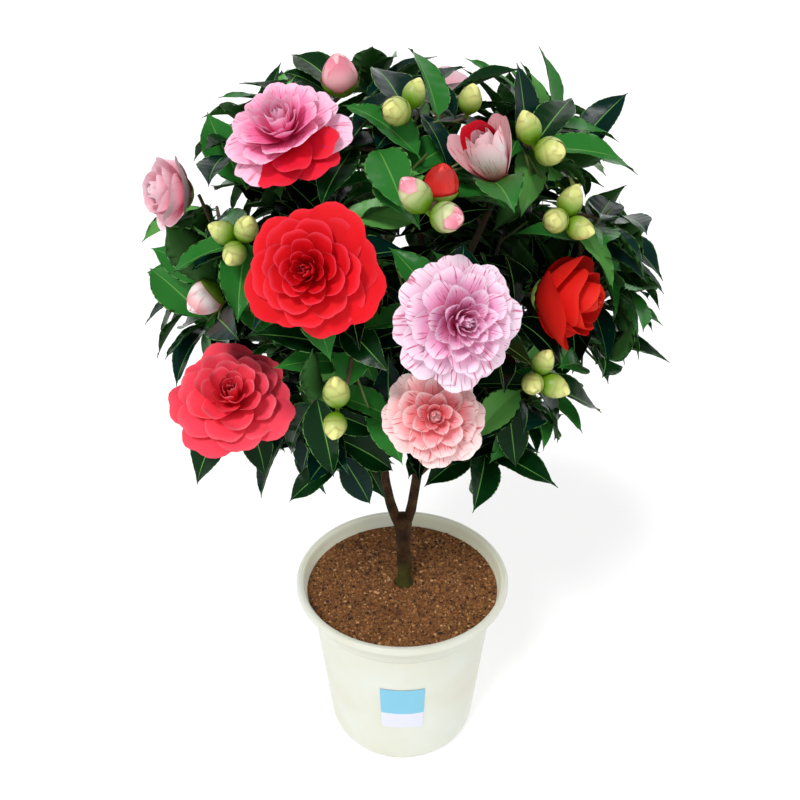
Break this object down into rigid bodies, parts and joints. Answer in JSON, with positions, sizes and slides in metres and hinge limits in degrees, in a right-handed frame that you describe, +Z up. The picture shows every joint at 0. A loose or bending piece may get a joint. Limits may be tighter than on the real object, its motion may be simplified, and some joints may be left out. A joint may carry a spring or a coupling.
{
  "type": "potted camellia shrub",
  "caption": "Flowering camellia shrub grown as a small round-headed standard on a forked trunk, in a plain flared plastic pot filled with soil.",
  "frame": {"origin": "middle of the flat underside of the pot, on the ground", "axes": "+Z up along the trunk, -Y towards the side that is seen first, +X to the right of that view"},
  "size_m": [0.4915, 0.44, 0.7907],
  "materials": {
    "pot_shell": "satin ivory plastic",
    "potting_soil": "loose granular soil",
    "bark": "thin brown bark",
    "foliage": "glossy leaves with soft petals"
  },
  "bodies": {
    "root": {"pot": "pot_shell", "soil": "potting_soil", "trunk": "bark", "limb_left": "bark", "limb_right": "bark", "bough_upper_front": "bark", "bough_upper_back": "bark", "bough_middle_front": "bark", "bough_middle_right": "bark", "bough_middle_back_right": "bark", "bough_middle_back_left": "bark", "bough_middle_left": "bark", "bough_lower_front_right": "bark", "bough_lower_back_right": "bark", "bough_lower_back_left": "bark", "bough_lower_front_left": "bark", "mass_upper_front": "foliage", "mass_upper_right": "foliage", "mass_upper_back": "foliage", "mass_upper_left": "foliage", "mass_middle_front": "foliage", "mass_middle_right": "foliage", "mass_middle_back_right": "foliage", "mass_middle_back_left": "foliage", "mass_middle_left": "foliage", "mass_lower_front_right": "foliage", "mass_lower_back_right": "foliage", "mass_lower_back_left": "foliage", "mass_lower_front_left": "foliage"}
  },
  "joints": []
}
